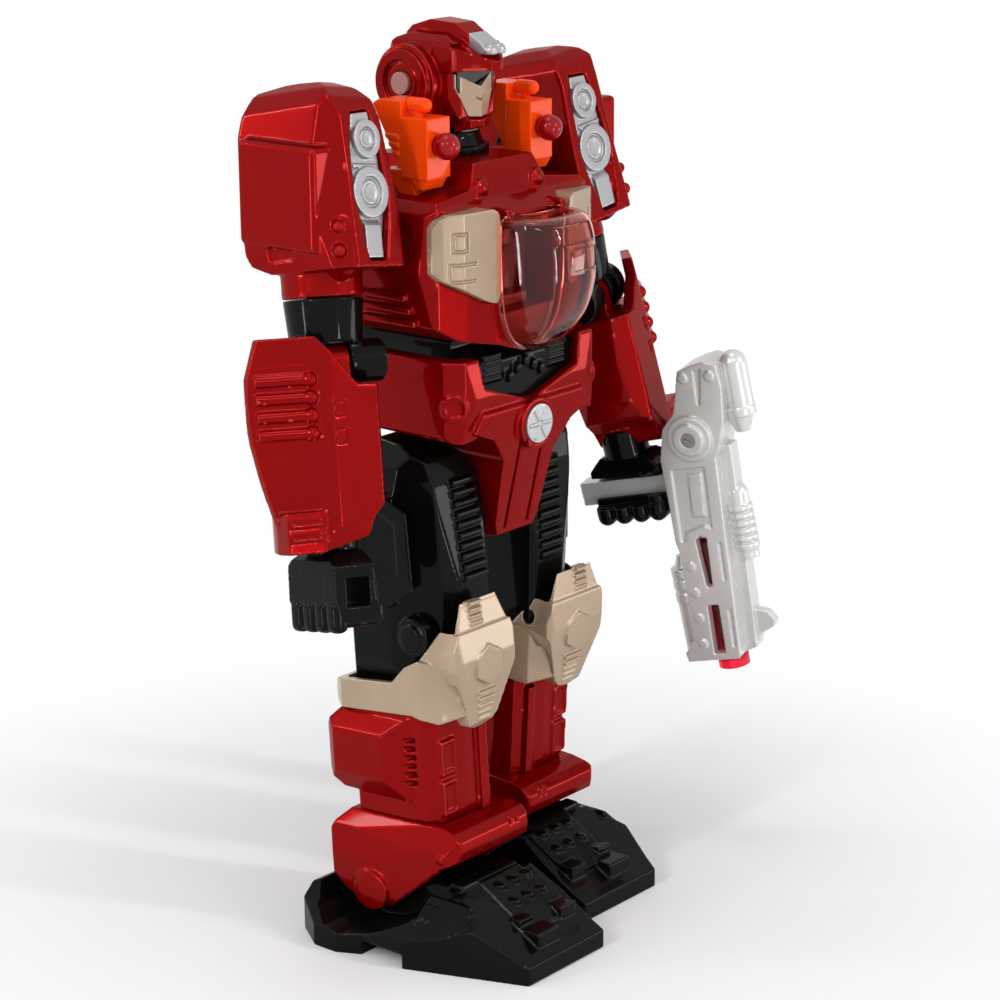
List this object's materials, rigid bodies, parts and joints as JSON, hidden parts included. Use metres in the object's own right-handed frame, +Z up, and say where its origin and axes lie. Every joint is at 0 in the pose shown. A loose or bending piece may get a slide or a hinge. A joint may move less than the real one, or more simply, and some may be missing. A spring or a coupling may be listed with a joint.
{
  "type": "toy robot",
  "caption": "Walking toy robot with a cockpit canopy, shoulder launchers, jointed arms, walking legs and a hand-held light blaster.",
  "frame": {"origin": "on the ground below the middle of the chest", "axes": "+Z up, the robot faces -Y, its left side is +X"},
  "size_m": [0.2068, 0.1089, 0.3064],
  "materials": {
    "red_shell": "glossy",
    "black_plastic": "glossy",
    "gold_plastic": "satin metallic paint",
    "silver_plastic": "silver paint",
    "clear_amber": "tinted clear",
    "dark_red": "glossy",
    "rose_plastic": "glossy",
    "orange_plastic": "glossy",
    "crimson_plastic": "glossy",
    "grey_plastic": "satin",
    "clear_red": "tinted clear",
    "steel": "satin",
    "white_nylon": "matte",
    "battery_wrap": "glossy",
    "speaker_black": "matte"
  },
  "bodies": {
    "torso": {"chest_front": "red_shell", "chest_back": "red_shell", "chest_plate_left": "gold_plastic", "chest_plate_right": "gold_plastic", "cockpit_tub": "dark_red", "neck_post": "black_plastic", "waist_core": "black_plastic", "pelvis_shell": "red_shell", "belt_disc": "silver_plastic", "battery_door": "red_shell", "shell_screws": "steel", "gearbox": "white_nylon", "battery_cells": "battery_wrap", "speaker": "speaker_black", "launcher_left": "orange_plastic", "launcher_right": "orange_plastic", "shoulder_axle_left": "black_plastic", "shoulder_axle_right": "black_plastic", "hip_axle_left": "steel", "hip_axle_right": "steel"},
    "canopy": {"canopy": "clear_amber"},
    "power_switch": {"power_switch": "black_plastic"},
    "head": {"helmet": "red_shell", "crest_lamp": "silver_plastic", "visor_band": "black_plastic", "face_guard": "gold_plastic", "ear_discs": "rose_plastic"},
    "missile_left": {"missile_left": "crimson_plastic"},
    "launch_button_left": {"launch_button_left": "orange_plastic"},
    "arm_left": {"shoulder_pod_left": "red_shell", "lamp_panel_left": "silver_plastic"},
    "upper_arm_left": {"upper_arm_left": "black_plastic", "elbow_pin_left": "steel"},
    "forearm_left": {"forearm_left": "red_shell"},
    "hand_left": {"hand_left": "black_plastic"},
    "leg_left": {"thigh_left": "black_plastic", "knee_cap_left": "gold_plastic", "shin_left": "red_shell", "ankle_cuff_left": "red_shell", "ankle_pin_left": "steel"},
    "foot_left": {"foot_left": "black_plastic"},
    "missile_right": {"missile_right": "crimson_plastic"},
    "launch_button_right": {"launch_button_right": "orange_plastic"},
    "arm_right": {"shoulder_pod_right": "red_shell", "lamp_panel_right": "silver_plastic"},
    "upper_arm_right": {"upper_arm_right": "black_plastic", "elbow_pin_right": "steel"},
    "forearm_right": {"forearm_right": "red_shell"},
    "hand_right": {"hand_right": "black_plastic"},
    "leg_right": {"thigh_right": "black_plastic", "knee_cap_right": "gold_plastic", "shin_right": "red_shell", "ankle_cuff_right": "red_shell", "ankle_pin_right": "steel"},
    "foot_right": {"foot_right": "black_plastic"},
    "blaster": {"blaster_shell": "grey_plastic", "blaster_light": "clear_red", "blaster_screw": "steel"},
    "blaster_button": {"blaster_button": "grey_plastic"}
  },
  "joints": [
    {"name": "head_turn", "type": "hinge", "parent": "torso", "child": "head", "pos_m": [0, 0.003, 0.27], "axis": [0, 0, 1], "range_deg": [-12, 12]},
    {"name": "canopy_hinge", "type": "hinge", "parent": "torso", "child": "canopy", "pos_m": [0, -0.036, 0.2459], "axis": [-1, 0, 0], "range_deg": [0, 60]},
    {"name": "missile_slide_left", "type": "slide", "parent": "torso", "child": "missile_left", "axis": [0, -1, 0], "range_m": [0, 0.035]},
    {"name": "missile_slide_right", "type": "slide", "parent": "torso", "child": "missile_right", "axis": [0, -1, 0], "range_m": [0, 0.035]},
    {"name": "launch_button_press_left", "type": "slide", "parent": "torso", "child": "launch_button_left", "axis": [0, 0, -1], "range_m": [0, 0.0012], "stiffness_N_per_m": 300, "springref_m": -0.0006},
    {"name": "launch_button_press_right", "type": "slide", "parent": "torso", "child": "launch_button_right", "axis": [0, 0, -1], "range_m": [0, 0.0012], "stiffness_N_per_m": 300, "springref_m": -0.0006},
    {"name": "power_switch_slide", "type": "slide", "parent": "torso", "child": "power_switch", "axis": [1, 0, 0], "range_m": [0, 0.006]},
    {"name": "shoulder_swing_left", "type": "hinge", "parent": "torso", "child": "arm_left", "pos_m": [0.0577, 0.0065, 0.258], "axis": [-0.9903, 0, -0.1392], "range_deg": [-40, 100]},
    {"name": "arm_twist_left", "type": "hinge", "parent": "arm_left", "child": "upper_arm_left", "pos_m": [0.06248, -0.00018, 0.22398], "axis": [-0.1366, 0.1908, 0.9721], "range_deg": [-20, 30]},
    {"name": "elbow_bend_left", "type": "hinge", "parent": "upper_arm_left", "child": "forearm_left", "pos_m": [0.06619, -0.00703, 0.20476], "axis": [-0.9281, -0.3677, -0.0583], "range_deg": [0, 30]},
    {"name": "wrist_turn_left", "type": "hinge", "parent": "forearm_left", "child": "hand_left", "pos_m": [0.07719, -0.01535, 0.14724], "axis": [-0.1366, 0.1908, 0.9721], "range_deg": [-30, 9]},
    {"name": "shoulder_swing_right", "type": "hinge", "parent": "torso", "child": "arm_right", "pos_m": [-0.0577, 0.0065, 0.258], "axis": [-0.9903, 0, 0.1392], "range_deg": [-40, 100]},
    {"name": "arm_twist_right", "type": "hinge", "parent": "arm_right", "child": "upper_arm_right", "pos_m": [-0.06248, -0.00018, 0.22398], "axis": [-0.1366, -0.1908, -0.9721], "range_deg": [-20, 30]},
    {"name": "elbow_bend_right", "type": "hinge", "parent": "upper_arm_right", "child": "forearm_right", "pos_m": [-0.06619, -0.00703, 0.20476], "axis": [-0.9281, 0.3677, 0.0583], "range_deg": [0, 30]},
    {"name": "wrist_turn_right", "type": "hinge", "parent": "forearm_right", "child": "hand_right", "pos_m": [-0.07719, -0.01535, 0.14724], "axis": [-0.1366, -0.1908, -0.9721], "range_deg": [-90, 90]},
    {"name": "blaster_grip_slide", "type": "slide", "parent": "hand_left", "child": "blaster", "axis": [0.2138, -0.9525, 0.217], "range_m": [0, 0.036]},
    {"name": "blaster_button_press", "type": "slide", "parent": "blaster", "child": "blaster_button", "axis": [-0.9673, -0.2375, -0.0893], "range_m": [0, 0.001], "stiffness_N_per_m": 300, "springref_m": -0.0006},
    {"name": "hip_swing_left", "type": "hinge", "parent": "torso", "child": "leg_left", "pos_m": [0.028, 0.005, 0.165], "axis": [-1, 0, 0], "range_deg": [-4.6, 11.4]},
    {"name": "hip_swing_right", "type": "hinge", "parent": "torso", "child": "leg_right", "pos_m": [-0.028, 0.005, 0.165], "axis": [-1, 0, 0], "range_deg": [-11.4, 4.6]},
    {"name": "ankle_tilt_left", "type": "hinge", "parent": "leg_left", "child": "foot_left", "pos_m": [0.028, 0.0137, 0.0185], "axis": [-1, 0, 0], "range_deg": [-11.4, 4.6]},
    {"name": "ankle_tilt_right", "type": "hinge", "parent": "leg_right", "child": "foot_right", "pos_m": [-0.028, -0.0037, 0.0185], "axis": [-1, 0, 0], "range_deg": [-4.6, 11.4]}
  ],
  "couplings": [
    {"joint": "hip_swing_right", "follows": "hip_swing_left", "ratio": -1},
    {"joint": "ankle_tilt_left", "follows": "hip_swing_left", "ratio": -1},
    {"joint": "ankle_tilt_right", "follows": "hip_swing_left", "ratio": 1}
  ]
}
